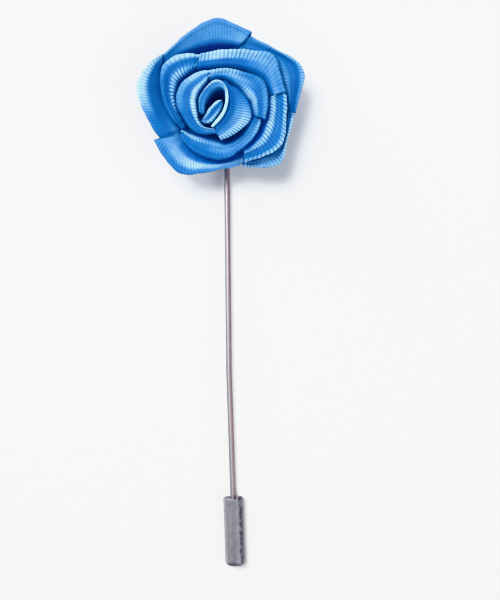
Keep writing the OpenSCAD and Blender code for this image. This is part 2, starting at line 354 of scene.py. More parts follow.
@dataclass(frozen=True)
class Nickel:
    """Nickel plate with fine draw marks and random dark specks, and with painted reflections:
    mottled dark bands along two fixed sides, and its +X side painted darker.

    The mesh gives the number side at each point: 0 on the metal's -X side, 1 on its +X side.
    Pairs and fours are limits of smooth steps, of side or of the spots' noise.
    """

    name: str
    # The two side colours are a painted reflection: tone on the -X side, the next colour on the +X
    # side, split by turn.
    tone: Colour = (0.38, 0.37, 0.41, 1.0)
    painted_side_reflection: Colour = (0.27, 0.2, 0.21, 1.0)
    dull_and_painted_dark: Colour = (0.09, 0.08, 0.11, 1.0)
    turn: Pair = (0.42, 0.62)
    # Painted reflections: dark bands at two fixed sides of the metal, mottled by the spots' noise.
    painted_dark_band: Row = (0.74, 0.8, 0.88, 0.95)
    painted_dark_line: Row = (0.3, 0.33, 0.34, 0.38)
    painted_line_share: float = 0.5
    spot_scale: float = 1500.0
    patches: Pair = (0.36, 0.6)
    specks: Pair = (0.5, 0.72)
    speck_share: float = 0.3
    specks_and_painted_bands: float = 0.3
    marks: Row = (9000.0, 260.0, 9000.0)
    mark_wear: float = 0.12
    mark_depth: float = 0.004
    mark_strength: float = 0.35
    roughness: float = 0.45
    mark_roughness: float = 0.08
    spot_roughness: float = 0.1

    def make(self) -> bpy.types.Material:
        """Builds the plate on object coordinates: draw marks run along the stick.

        Returns:
            The material.
        """
        recipe = Recipe(self.name)
        place = recipe.coordinates("Object")
        side = recipe.attribute("side")
        drawn = recipe.noise(recipe.stretched(place, self.marks), 1.0, 3.0)
        spots = recipe.noise(place, self.spot_scale, 4.0, 0.6)
        # Painted reflections: dark bands at two fixed sides, mottled by the spots' noise, joined by
        # random dark specks.
        lines = side.band(self.painted_dark_band) + side.band(self.painted_dark_line) * self.painted_line_share
        specks_and_painted_bands = spots.ramp(*self.patches) * lines + spots.ramp(*self.specks) * self.speck_share
        wear_and_painted_bands = (specks_and_painted_bands * self.specks_and_painted_bands + drawn * self.mark_wear).clamped()
        # Painted reflection: the -X and the +X side in two tones.
        plate = recipe.blend(side.ramp(*self.turn), self.tone, self.painted_side_reflection)
        return recipe.finish({
            "Base Color": recipe.blend(wear_and_painted_bands, plate, self.dull_and_painted_dark),
            "Metallic": 1.0,
            "Roughness": self.roughness + drawn * self.mark_roughness + spots * self.spot_roughness,
            "Normal": recipe.relief(drawn, self.mark_depth, self.mark_strength),
        })


@dataclass(frozen=True)
class PaleCard:
    """A plain pale sheet of card with a faint tooth."""

    name: str = "pale_card"
    colour: Colour = (0.8, 0.8, 0.79, 1.0)
    roughness: float = 0.75
    tooth_scale: float = 900.0
    tooth_roughness: float = 0.1
    tooth_depth: float = 0.02
    tooth_strength: float = 0.15

    def make(self) -> bpy.types.Material:
        """Builds the card.

        Returns:
            The material.
        """
        recipe = Recipe(self.name)
        tooth = recipe.noise(recipe.coordinates("Object"), self.tooth_scale, 3.0)
        return recipe.finish({
            "Base Color": self.colour,
            "Roughness": self.roughness + tooth * self.tooth_roughness,
            "Normal": recipe.relief(tooth, self.tooth_depth, self.tooth_strength),
        })


def glide(a: float, b: float, c: float, d: float, t: float) -> float:
    """A smooth value between b and c, the second and third of four."""
    return b + 0.5 * t * ((c - a) + t * ((2 * a - 5 * b + 4 * c - d) + t * (3 * b - a - 3 * c + d)))


def glide_rows(rows: Sequence[Sequence[float]], place: float) -> list[float]:
    """Reads a table of rows smoothly.

    Args:
        rows: The rows, all as long as each other.
        place: Where to read, from 0 at the first row to 1 at the last.

    Returns:
        The row at that place.
    """
    spot = min(max(place, 0.0), 1.0) * (len(rows) - 1)
    i = min(int(spot), len(rows) - 2)
    four = [rows[min(max(i + k, 0), len(rows) - 1)] for k in (-1, 0, 1, 2)]
    return [glide(*values, spot - i) for values in zip(*four)]


def smooth(low: float, high: float, value: float) -> float:
    """A smooth step from 0 at low to 1 at high."""
    t = min(max((value - low) / (high - low), 0.0), 1.0)
    return t * t * (3 - 2 * t)


def as_piece(made: bmesh.types.BMesh, name: str, finish: bpy.types.Material) -> bpy.types.Object:
    """Turns a finished bmesh into an object at the origin.

    Args:
        made: The mesh, which is freed.
        name: The piece's name.
        finish: Its material.

    Returns:
        The new object.
    """
    mesh = bpy.data.meshes.new(name)
    made.to_mesh(mesh)
    made.free()
    mesh.materials.append(finish)
    piece = bpy.data.objects.new(name, mesh)
    bpy.context.scene.collection.objects.link(piece)
    return piece


def ride(piece: bpy.types.Object, body: Body, node: str) -> None:
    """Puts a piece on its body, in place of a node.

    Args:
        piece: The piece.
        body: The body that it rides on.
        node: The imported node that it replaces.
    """
    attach(piece, body.value)
    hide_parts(node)


def spun(made: bmesh.types.BMesh, profile: Sequence[Pair], steps: int, axis: str) -> None:
    """Spins an open profile, whose ends lie on the axis, into a closed solid.

    Args:
        made: The mesh to add to.
        profile: Radius and place along the axis, in metres.
        steps: Faces round the axis.
        axis: "Y" or "Z".
    """
    places = [Vector((r, 0.0, h)) if axis == "Z" else Vector((r, h, 0.0)) for r, h in profile]
    verts = [made.verts.new(place) for place in places]
    edges = [made.edges.new(pair) for pair in zip(verts, verts[1:])]
    bmesh.ops.spin(made, geom=verts + edges, cent=(0, 0, 0), angle=math.tau, steps=steps,
                   axis=(0, 1, 0) if axis == "Y" else (0, 0, 1), use_merge=True)
    bmesh.ops.remove_doubles(made, verts=made.verts, dist=SAME_PLACE)
    bmesh.ops.recalc_face_normals(made, faces=made.faces)


@dataclass
class Cup:
    """The open cup that all petals stand in, and the rose's place on the stick.

    Outer, middle, inner and bud are the heights of the petals' crests.
    """

    width: float = 25.0
    waist: float = 16.0
    floor: float = 3.2
    outer: float = 8.5
    middle: float = 10.5
    inner: float = 11.3
    bud: float = 11.9
    curve: float = 1.4
    turn: float = PHOTO_LEAN
    bud_x: float = -0.09
    bud_y: float = -0.191

    def widening(self, z: float) -> float:
        """How far the cup has opened at a height in millimetres."""
        return 1 - math.exp(-self.curve * (z - self.floor) / (self.outer - self.floor))

    def flare(self, z: float) -> float:
        """The cup's width at a height, against its width at the outer petals."""
        grown = (self.width - self.waist) * self.widening(z) / self.widening(self.outer)
        return (self.waist + grown) / self.width

    def spot(self, angle: float, share: float, centre: Pair) -> Pair:
        """A place in the plan, in millimetres, from an angle and a share of the radius."""
        a, r = math.radians(angle), self.width / 2
        return r * (centre[0] + share * math.cos(a)), r * (centre[1] + share * math.sin(a))


@dataclass(frozen=True)
class Ribbon:
    """What all the folds share: how this ribbon's ribs, edges and ends stand and catch light.

    A pair holds the two limits of a smooth step. Drop_from and clear_from are shares of a
    petal's tuck, and least_ply is what is left of the thickness where a fold is narrow.
    """

    sway: float = 0.03
    slow_wave: float = 1.9
    quick_wave: float = 3.7
    quick_share: float = 0.6
    rib_least: float = 0.35
    narrow: Pair = (0.2, 1.0)
    thin: Pair = (0.4, 2.4)
    upper: Pair = (0.5, 1.0)
    fading: Pair = (0.45, 0.7)
    puffing: Pair = (0.78, 0.97)
    inner_rim: Pair = (0.0, 0.06)
    outer_rim: Pair = (0.9, 0.985)
    rim_least: float = 0.45
    # The next two fade the painted light down the walls.
    lit: Pair = (0.7, 0.97)
    lit_least: float = 0.25
    # The next two bound, by height, the walls that get the painted glow.
    painted_glow_from: Pair = (0.1, 0.85)
    painted_glow_until: Pair = (0.86, 0.99)
    lift_reach: float = 1.4
    lip_reach: float = 0.32
    drop_from: float = 0.8
    drop_reach: float = 0.5
    clear_from: float = 0.5
    pinch: float = 0.22
    crest_at: float = 0.6
    steps: int = 200
    least_ply: float = 0.25
    least_flat: float = 10.1


RIBBON = Ribbon()

# Path of the ribbon over a petal, from the foot up the inner side, over, and down the outer.
# Columns: share of the way across, share of the height, share of the trough, share of the ribs
OVER: tuple[Row, ...] = (
    (0.0, -0.02, 0, 0.1), (0.0, 0.25, 0, 0.1), (0.0, 0.5, 0, 0.1), (0.0, 0.72, 0, 0.15),
    (0.005, 0.86, 0, 0.35), (0.05, 0.945, 0, 0.8), (0.13, 0.985, 0, 1), (0.21, 1, 0.12, 1),
    (0.31, 1, 0.55, 0.55), (0.42, 1, 0.93, 0.2), (0.52, 1, 1, 0.12), (0.62, 1, 0.85, 0.2),
    (0.72, 1, 0.45, 0.55), (0.81, 1, 0.1, 1), (0.88, 0.99, 0, 1), (0.95, 0.955, 0, 0.7),
    (0.99, 0.88, 0, 0.3), (1.0, 0.75, 0, 0.15), (1.0, 0.5, 0, 0.1), (1.0, 0.25, 0, 0.1),
    (1.0, -0.02, 0, 0.1))


@dataclass
class Petal:
    """One fold of ribbon: a table of its plan, how it shines, and how its ends finish.

    Rows follow the petal's length. Columns: angle and share of the flower's radius of the
    inner edge, the same two of the outer edge, and the heights of both as shares. Rows of
    shine, the light and shade painted into the satin's colour, are spaced evenly. Columns: inner
    roll, middle, outer roll.
    The ridges are the shares across where the inner roll's painted light ends and the outer roll's
    begins.
    Skew slants the ribs at the start and the end, puff swells the outer roll, and a pair gives the
    strength of the painted glow, an emission that lifts the shade of the inner and the outer wall.
    """

    name: str
    crest: float
    rows: tuple[Row, ...]
    shine: tuple[Row, ...]
    start: End = End.TUCKED
    end: End = End.FREE
    centre: Pair = (0.0, 0.0)
    trough: float = 0.55
    skew: Pair = (0.0, 0.0)
    rib_fade: float = 0.0
    rib_pitch: float = 0.46
    rib_height: float = 0.02
    ribbing: float = 0.55
    ply: float = 0.13
    tuck: float = 0.8
    tuck_drop: float = 0.3
    end_lift: float = 0.1
    lip: float = 0.16
    puff: float = 0.0
    puff_ease: float = 0.0
    seep: Pair = (0.1, 0.2)
    ridges: Row = (0.2, 0.42, 0.58, 0.8)
    cross_cuts: int = 58
    rib_cuts: int = 6
    least_cuts: int = 24

    def plan(self, cup: Cup) -> list[list[float]]:
        """Turns the rows into places, and runs a tucked end on under its neighbour.

        Args:
            cup: The cup that the petal stands in.

        Returns:
            Rows of inner and outer place in millimetres and both heights as shares.
        """
        made = []
        for a, r, b, s, low, high in self.rows:
            made.append([*cup.spot(a, r, self.centre), *cup.spot(b, s, self.centre), low, high])
        if self.start is End.TUCKED:
            made.insert(0, self.run_on(made[0], made[1]))
        if self.end is End.TUCKED:
            made.append(self.run_on(made[-1], made[-2]))
        return made

    def run_on(self, last: list[float], before: list[float]) -> list[float]:
        """Makes a further row past the last one, a little narrower, for a hidden end.

        Args:
            last: The row at the end.
            before: The row next to it.

        Returns:
            The new row.
        """
        way = Vector((last[0] + last[2] - before[0] - before[2],
                      last[1] + last[3] - before[1] - before[3])).normalized() * self.tuck
        inner, outer = Vector(last[0:2]) + way, Vector(last[2:4]) + way
        middle = (inner + outer) / 2
        inner, outer = inner.lerp(middle, RIBBON.pinch), outer.lerp(middle, RIBBON.pinch)
        return [*inner, *outer, last[4], last[5]]

    def point(self, cup: Cup, row: Sequence[float], cut: Sequence[float]) -> Vector:
        """Finds a point of the ribbon's plain form.

        Args:
            cup: The cup that the petal stands in.
            row: The plan at a length along the ribbon.
            cut: The path's row at a place across it.

        Returns:
            The point in millimetres.
        """
        share, up, dip, _ = cut
        lean = row[4] * (1 - share) + row[5] * share
        z = cup.floor + (self.crest - cup.floor) * lean * up - self.trough * dip
        scale = cup.flare(z) / cup.flare(self.crest)
        return Vector(((row[0] * (1 - share) + row[2] * share) * scale,
                       (row[1] * (1 - share) + row[3] * share) * scale, z))

    def sway(self, along: float, across: float) -> float:
        """A slow unevenness of the folded edge, whose phase comes from the petal's name.

        Args:
            along: Length along the ribbon, in millimetres.
            across: Share of the way across.

        Returns:
            How far the ribbon stands off, in millimetres.
        """
        seed = sum(map(ord, self.name))
        slow = math.sin(along * RIBBON.slow_wave + seed)
        quick = math.sin(along * RIBBON.quick_wave + seed * 1.7 + across * 3)
        return RIBBON.sway * (slow + RIBBON.quick_share * quick)

    def ending(self, along: float, length: float) -> float:
        """How far the ribbon stands above its form near its ends.

        Args:
            along: Length along the ribbon, in millimetres.
            length: Its whole length.

        Returns:
            The height in millimetres, below 0 where a hidden end dips.
        """
        off = 0.0
        for end, past in ((self.start, along), (self.end, length - along)):
            if end is End.TUCKED:
                low, high = self.tuck * RIBBON.drop_from, self.tuck + RIBBON.drop_reach
                off -= self.tuck_drop * (1 - smooth(low, high, past))
            else:
                off += self.end_lift * (1 - smooth(0.0, RIBBON.lift_reach, past))
                off -= self.lip * (1 - smooth(0.0, RIBBON.lip_reach, past)) ** 2
        return off

    def clear(self, along: float, length: float) -> float:
        """How clear a place is of the ends that are tucked under a neighbour.

        Args:
            along: Length along the ribbon, in millimetres.
            length: Its whole length.

        Returns:
            A share, 0 under the neighbour and 1 well away from it.
        """
        share = 1.0
        for end, past in ((self.start, along), (self.end, length - along)):
            if end is End.TUCKED:
                low, high = self.tuck * RIBBON.clear_from, self.tuck + self.puff_ease
                share *= smooth(low, high, past)
        return share

    def standing(self, along: float, length: float, cut: Sequence[float], width: float) -> float:
        """How far ribs, sway and puff lift the ribbon off its plain form.

        Args:
            along: Length along the ribbon, in millimetres.
            length: Its whole length.
            cut: The path's row at a place across it.
            width: The fold's width there, in millimetres.

        Returns:
            The distance in millimetres.
        """
        share, up, _, ribbed = cut
        broad, upper = smooth(*RIBBON.narrow, width), smooth(*RIBBON.upper, up)
        ribs = math.cos(math.tau * self.ribs(along, length, share)) * self.rib_height * ribbed
        ribs *= broad * (RIBBON.rib_least + (1 - RIBBON.rib_least) * self.ribbing)
        puff = self.puff * smooth(*RIBBON.puffing, share) * upper * self.clear(along, length)
        return ribs * self.fade(share) + self.sway(along, share) * upper * broad + puff

    def ribs(self, along: float, length: float, across: float) -> float:
        """The count of ribs at a length along the ribbon and a share of the way across."""
        skew = self.skew[0] + (self.skew[1] - self.skew[0]) * along / length
        return (along + skew * across) / self.rib_pitch

    def fade(self, across: float) -> float:
        """What is left of the ribs at a share of the way across, where the outer roll is smooth."""
        return 1 - self.rib_fade * smooth(*RIBBON.fading, across)

    def ribbed(self, across: float) -> float:
        """How much the ribs show in the satin at a share of the way across."""
        rim = smooth(*RIBBON.inner_rim, across) * (1 - smooth(*RIBBON.outer_rim, across))
        return self.ribbing * (RIBBON.rim_least + (1 - RIBBON.rim_least) * rim) * self.fade(across)

    def lit(self, along: float, cut: Sequence[float]) -> float:
        """How brightly the satin is lit.

        Args:
            along: Share of the ribbon's length.
            cut: The path's row at a place across it.

        Returns:
            The shine, about 1 on a bright roll.
        """
        # The shine is painted light and shade in the satin's colour, given for each roll, and it
        # fades down the walls.
        inner, middle, outer = glide_rows(self.shine, along)
        on_inner = 1 - smooth(self.ridges[0], self.ridges[1], cut[0])
        on_outer = smooth(self.ridges[2], self.ridges[3], cut[0])
        value = inner * on_inner + outer * on_outer + middle * (1 - on_inner - on_outer)
        return value * (RIBBON.lit_least + (1 - RIBBON.lit_least) * smooth(*RIBBON.lit, cut[1]))

    def painted_wall_glow(self, cut: Sequence[float]) -> float:
        """How strong the painted glow is at a cut, an emission that lifts the shade of the ribbon's
        two walls only.
        """
        wall = smooth(*RIBBON.painted_glow_from, cut[1]) * (1 - smooth(*RIBBON.painted_glow_until, cut[1]))
        return wall * (self.seep[1] if cut[0] > 0.5 else self.seep[0])

    def facing(self) -> float:
        """Tells which way the grid's own normal points.

        Returns:
            1 where it points out of the petal, or -1 where it points in.
        """
        first, second = self.rows[0], self.rows[1]
        inner, outer, ahead = (Vector((share * math.cos(math.radians(angle)),
                                       share * math.sin(math.radians(angle))))
                               for angle, share in (first[0:2], first[2:4], second[0:2]))
        along, over = ahead - inner, outer - inner
        return 1.0 if along.x * over.y - along.y * over.x > 0 else -1.0

    def measure(self, cup: Cup, plan: list[list[float]]) -> list[float]:
        """Measures the ribbon along its crest.

        Args:
            cup: The cup that the petal stands in.
            plan: The rows as places.

        Returns:
            The running length after each of many even steps through the plan.
        """
        crest = [self.point(cup, glide_rows(plan, k / RIBBON.steps), (RIBBON.crest_at, 1, 0, 0))
                 for k in range(RIBBON.steps + 1)]
        running = [0.0]
        for a, b in zip(crest, crest[1:]):
            running.append(running[-1] + (b - a).length)
        return running

    def at_length(self, running: list[float], share: float) -> float:
        """Finds where in the plan a share of the ribbon's length is reached.

        Args:
            running: The running lengths of even steps.
            share: The share of the whole length.

        Returns:
            The place in the plan, from 0 to 1.
        """
        wanted = share * running[-1]
        k = next((k for k, value in enumerate(running[1:]) if value >= wanted), len(running) - 2)
        step = running[k + 1] - running[k]
        return (k + (wanted - running[k]) / step) / (len(running) - 1)

    def build(self, cup: Cup, finish: bpy.types.Material) -> None:
        """Makes the petal's ribbon and dresses it.

        Args:
            cup: The cup that the petal stands in.
            finish: The satin.
        """
        plan = self.plan(cup)
        running = self.measure(cup, plan)
        length = running[-1]
        columns = max(self.least_cuts, round(length / self.rib_pitch * self.rib_cuts))
        rows = [glide_rows(plan, self.at_length(running, i / columns)) for i in range(columns + 1)]
        cuts = [glide_rows(OVER, j / self.cross_cuts) for j in range(self.cross_cuts + 1)]
        form = [[self.point(cup, row, cut) for cut in cuts] for row in rows]
        sheet = bmesh.new()
        bmesh.ops.create_grid(sheet, x_segments=columns, y_segments=self.cross_cuts, size=0.5)
        self.lay(sheet, Matrix.Rotation(cup.turn, 3, "Z"), length, rows, cuts, form)
        piece = as_piece(sheet, self.name.replace("petal", "fold").replace("bud", "heart"), finish)
        wall = piece.modifiers.new("ply", "SOLIDIFY")
        wall.thickness, wall.offset, wall.use_even_offset = self.ply * MM, -1.0, False
        wall.vertex_group = piece.vertex_groups.new(name="ply").name
        wall.thickness_vertex_group = RIBBON.least_ply
        ride(piece, Body.PIN, self.name)

    def lay(self, sheet: bmesh.types.BMesh, turn: Matrix, length: float,
            rows: list[list[float]], cuts: list[list[float]], form: list[list[Vector]]) -> None:
        """Lays a flat grid of ribbon over the petal's form, and notes how it catches light.

        Args:
            sheet: The grid, one unit wide.
            turn: The rose's turn on the stick.
            length: The ribbon's length, in millimetres.
            rows: The plan at each of the grid's columns.
            cuts: The path at each of its lines across.
            form: The plain form's points, by column and line.
        """
        weave = sheet.loops.layers.uv.new(WEAVE)
        shine = sheet.verts.layers.float.new("shine")
        ribbing = sheet.verts.layers.float.new("ribbing")
        seep = sheet.verts.layers.float.new("seep")
        plies = sheet.verts.layers.deform.new()
        columns, lines = len(rows) - 1, len(cuts) - 1
        facing = self.facing()
        place = {}
        for vert in sheet.verts:
            i, j = round((vert.co.x + 0.5) * columns), round((vert.co.y + 0.5) * lines)
            i0, i1 = max(i - 1, 0), min(i + 1, columns)
            j0, j1 = max(j - 1, 0), min(j + 1, lines)
            out = (form[i1][j] - form[i0][j]).cross(form[i][j1] - form[i][j0]).normalized()
            along, cut = length * i / columns, cuts[j]
            width = math.dist(rows[i][0:2], rows[i][2:4])
            rise = self.ending(along, length) * smooth(*RIBBON.upper, cut[1])
            stand = out * self.standing(along, length, cut, width) * facing
            vert.co = turn @ ((form[i][j] + Vector((0.0, 0.0, rise)) + stand) * MM)
            vert[shine] = self.lit(i / columns, cut)
            vert[ribbing] = self.ribbed(cut[0])
            # Painted glow: an emission on the walls that lifts their shade.
            vert[seep] = self.painted_wall_glow(cut)
            vert[plies][0] = smooth(*RIBBON.thin, width)
            place[vert] = (self.ribs(along, length, cut[0]), j / lines)
        for face in sheet.faces:
            face.smooth = True
            for loop in face.loops:
                loop[weave].uv = place[loop.vert]
        if facing < 0:
            bmesh.ops.reverse_faces(sheet, faces=sheet.faces)


@dataclass
class GatheredFoot:
    """The rose's foot: ribbon gathered round the pad and glued flat underneath.

    The profile's columns are radius and height in millimetres, from the middle of the
    underside round to the middle of the top. A pair holds the limits of a smooth step.
    """

    profile: tuple[Row, ...] = (
        (0.0, 0.0), (0.6, 0.0), (1.4, 0.0), (2.6, 0.0), (3.8, 0.0), (4.8, 0.0), (5.5, 0.0),
        (5.84, 0.03), (6.0, 0.16), (6.16, 0.4), (6.4, 0.8), (6.68, 1.2), (6.96, 1.6), (7.24, 2.0),
        (7.5, 2.35), (7.74, 2.66), (7.9, 2.88), (7.9, 3.02), (7.74, 3.08), (7.2, 3.1), (5.5, 3.1),
        (3.0, 3.1), (0.0, 3.1))
    steps: int = 360
    rim: float = 6.0
    pleats: int = 34
    side_depth: float = 0.3
    side_from: Pair = (0.0, 0.4)
    side_until: Pair = (2.7, 3.05)
    crease_depth: float = 0.14
    crease_from: Pair = (0.1, 0.45)
    crease_until: Pair = (0.0, 0.1)
    shine: float = 0.35
    ribbing: float = 0.5
    ribs_round: float = 18.0
    weave_width: float = 12.0

    def fold(self, angle: float) -> float:
        """How deep the gathers are. Slow waves keep the pleats from being all alike.

        Args:
            angle: The angle round the foot, in radians.

        Returns:
            The share of the full depth, from 0 on a crest to 1 in a crease.
        """
        uneven = 1.3 * math.sin(3 * angle + 0.4) + 0.7 * math.sin(7 * angle)
        crease = (0.5 - 0.5 * math.cos(self.pleats * angle + uneven)) ** 1.6
        return crease * (0.75 + 0.25 * math.sin(5 * angle + 1.0))

    def build(self, finish: bpy.types.Material) -> None:
        """Makes the gathered foot in place of the plain one.

        Args:
            finish: The satin.
        """
        made = bmesh.new()
        spun(made, [(r * MM, z * MM) for r, z in self.profile], self.steps, "Z")
        weave = made.loops.layers.uv.new(WEAVE)
        shine = made.verts.layers.float.new("shine")
        ribbing = made.verts.layers.float.new("ribbing")
        for vert in made.verts:
            reach, height = math.hypot(vert.co.x, vert.co.y) / MM, vert.co.z / MM
            deep = self.fold(math.atan2(vert.co.y, vert.co.x))
            side = smooth(*self.side_from, height) * (1 - smooth(*self.side_until, height))
            under = smooth(*self.crease_from, reach / self.rim)
            under *= 1 - smooth(*self.crease_until, height)
            # Painted light and shade: the shine is full on the pleats' crests, falls to none in
            # their creases, a painted shade, and fades off the side's bottom and top.
            vert[shine] = self.shine * (1 - deep) * side
            vert[ribbing] = self.ribbing
            if reach > 0:
                shrink = 1 - self.side_depth * deep * side / reach
                vert.co.x, vert.co.y = vert.co.x * shrink, vert.co.y * shrink
            vert.co.z += self.crease_depth * deep * under * MM
        for face in made.faces:
            face.smooth = True
            middle = math.atan2(*face.calc_center_median().yx)
            for loop in face.loops:
                x, y, z = loop.vert.co / MM
                turn = middle + (math.atan2(y, x) - middle + math.pi) % math.tau - math.pi
                loop[weave].uv = (turn * self.ribs_round, (math.hypot(x, y) + z) / self.weave_width)
        ride(as_piece(made, "gathered_foot", finish), Body.PIN, "rose_foot")
        LOG.info("gathered_foot: %d pleats", self.pleats)


@dataclass
class Stick:
    """The wire with its slight bend, its ground point and the pad soldered on it.

    Rows of head and nose round off the wire's two ends: distance from the end, and share of
    the radius there.
    """

    radius: float = 0.45
    grip: float = 0.43
    height: float = 1.55
    side: float = -0.28
    bend_at: float = 42.2
    bend: float = math.radians(1.34)
    bend_radius: float = 60.0
    past: float = 2.4
    lower: float = 27.0
    shown: float = 18.2
    shoulder: float = 0.5
    point: float = 4.0
    tip: float = 0.05
    head: tuple[Row, ...] = ((0.0, 0.0), (0.0, 0.6), (0.03, 0.9), (0.12, 1.0))
    nose: tuple[Row, ...] = ((0.03, 0.6), (0.04, 0.0))
    upper_steps: int = 40
    bend_steps: int = 8
    lower_steps: int = 24
    point_steps: int = 10
    around: int = 64
    pad_radius: float = 3.2
    pad_thick: float = 0.6
    pad_base: float = 1.9
    pad_edge: float = 0.1
    pad_steps: int = 96

    def clutch_at(self) -> Vector:
        """The middle of the clutch's mouth, in millimetres."""
        return Vector((self.side, -self.bend_at - self.shown - self.shoulder, self.height))

    def route(self) -> list[Row]:
        """Lists the wire's rings, from its hidden head to its point.

        Returns:
            For each ring, its place in the plan, its direction's angle and its radius.
        """
        middle = (self.side + self.bend_radius, -self.bend_at)
        way = (math.sin(self.bend), math.cos(self.bend))
        start = (middle[0] - self.bend_radius * way[1], middle[1] + self.bend_radius * way[0])
        upper = [(self.bend_at + self.past - back, thin * self.radius) for back, thin in self.head]
        upper += [(self.bend_at * (1 - k / self.upper_steps), self.radius)
                  for k in range(1, self.upper_steps)]
        rings = [(start[0] + way[0] * far, start[1] + way[1] * far, self.bend, r)
                 for far, r in upper]
        for k in range(self.bend_steps + 1):
            lean = self.bend * (1 - k / self.bend_steps)
            rings.append((middle[0] - self.bend_radius * math.cos(lean),
                          middle[1] + self.bend_radius * math.sin(lean), lean, self.radius))
        cone = self.lower - self.point
        down = [(self.shown * k / self.lower_steps, self.radius)
                for k in range(1, self.lower_steps + 1)]
        down += [(self.shown + self.shoulder, self.grip), (cone, self.grip)]
        for k in range(1, self.point_steps + 1):
            share = k / self.point_steps
            down.append((cone + self.point * share, self.grip + (self.tip - self.grip) * share))
        down += [(self.lower + further, self.tip * thin) for further, thin in self.nose]
        return rings + [(self.side, -self.bend_at - far, 0.0, r) for far, r in down]

    def build(self, finish: bpy.types.Material) -> None:
        """Makes the wire and its pad in place of the node.

        Args:
            finish: The plate.
        """
        rings = self.route()
        made = bmesh.new()
        bmesh.ops.create_grid(made, x_segments=len(rings) - 1, y_segments=self.around, size=0.5)
        side = made.verts.layers.float.new("side")
        for vert in made.verts:
            x, y, lean, radius = rings[round((vert.co.x + 0.5) * (len(rings) - 1))]
            turn = math.tau * round((vert.co.y + 0.5) * self.around) / self.around
            out = radius * math.cos(turn)
            # Side places the plate's painted reflections, from the -X to the +X side.
            vert[side] = 0.5 + 0.5 * math.cos(turn)
            vert.co = Vector((x + out * math.cos(lean), y - out * math.sin(lean),
                              self.height + radius * math.sin(turn))) * MM
        bmesh.ops.remove_doubles(made, verts=made.verts, dist=SAME_PLACE)
        self.solder_pad(made)
        bmesh.ops.recalc_face_normals(made, faces=made.faces)
        for face in made.faces:
            face.smooth = len(face.verts) < 5
        ride(as_piece(made, "stick_wire", finish), Body.PIN, "pin_stick")
        LOG.info("stick_wire: %.1f mm below the bend", self.lower)

    def solder_pad(self, made: bmesh.types.BMesh) -> None:
        """Adds the round pad with its edges broken.

        Args:
            made: The wire's mesh, whose own faces have four sides at most.
        """
        middle = Vector((self.side + self.bend_at * math.tan(self.bend), 0,
                         self.pad_base + self.pad_thick / 2))
        bmesh.ops.create_cone(
            made, cap_ends=True, segments=self.pad_steps, radius1=self.pad_radius * MM,
            radius2=self.pad_radius * MM, depth=self.pad_thick * MM,
            matrix=Matrix.Translation(middle * MM))
        rims = [edge for edge in made.edges if any(len(face.verts) > 4 for face in edge.link_faces)]
        bmesh.ops.bevel(made, geom=rims, offset=self.pad_edge * MM, segments=3, profile=0.5,
                        affect="EDGES", material=-1)


@dataclass
class Clutch:
    """The barrel clutch on its stick: a funnel mouth, a blind bore and a rounded end.

    The profile's columns are radius and distance past the mouth in millimetres. Round_off is
    where the barrel's side gives way to its rounded end.
    """

    stick: Stick
    radius: float = 1.55
    profile: tuple[Row, ...] = (
        (0.0, 8.7), (0.42, 8.7), (0.48, 8.67), (0.5, 8.58), (0.5, 5.0), (0.5, 2.1), (0.52, 2.0),
        (0.56, 1.91), (1.33, 0.14), (1.38, 0.05), (1.43, 0.0), (1.49, 0.0), (1.53, 0.03),
        (1.55, 0.09), (1.55, 0.2), (1.55, 4.0), (1.55, 9.4), (1.55, 9.72), (1.54, 9.9),
        (1.5, 10.06), (1.42, 10.22), (1.3, 10.35), (1.14, 10.44), (0.96, 10.49), (0.8, 10.5),
        (0.4, 10.5), (0.0, 10.5))
    round_off: Pair = (9.8, 10.3)
    steps: int = 128

    def build(self, finish: bpy.types.Material) -> None:
        """Makes the clutch in place of the node.

        Args:
            finish: The plate.
        """
        made = bmesh.new()
        spun(made, [(r * MM, -d * MM) for r, d in self.profile], self.steps, "Y")
        side = made.verts.layers.float.new("side")
        for vert in made.verts:
            barrel = 1 - smooth(*self.round_off, -vert.co.y / MM)
            # Side places the plate's painted reflections, and settles at the middle over the rounded
            # end.
            vert[side] = 0.5 + 0.5 * barrel * vert.co.x / (self.radius * MM)
        mouth = self.stick.clutch_at()
        bmesh.ops.translate(made, verts=made.verts, vec=mouth * MM)
        for face in made.faces:
            face.smooth = True
        ride(as_piece(made, "clutch_barrel", finish), Body.CLUTCH, "clutch")
        LOG.info("clutch_barrel: mouth at y = %.1f mm", mouth.y)


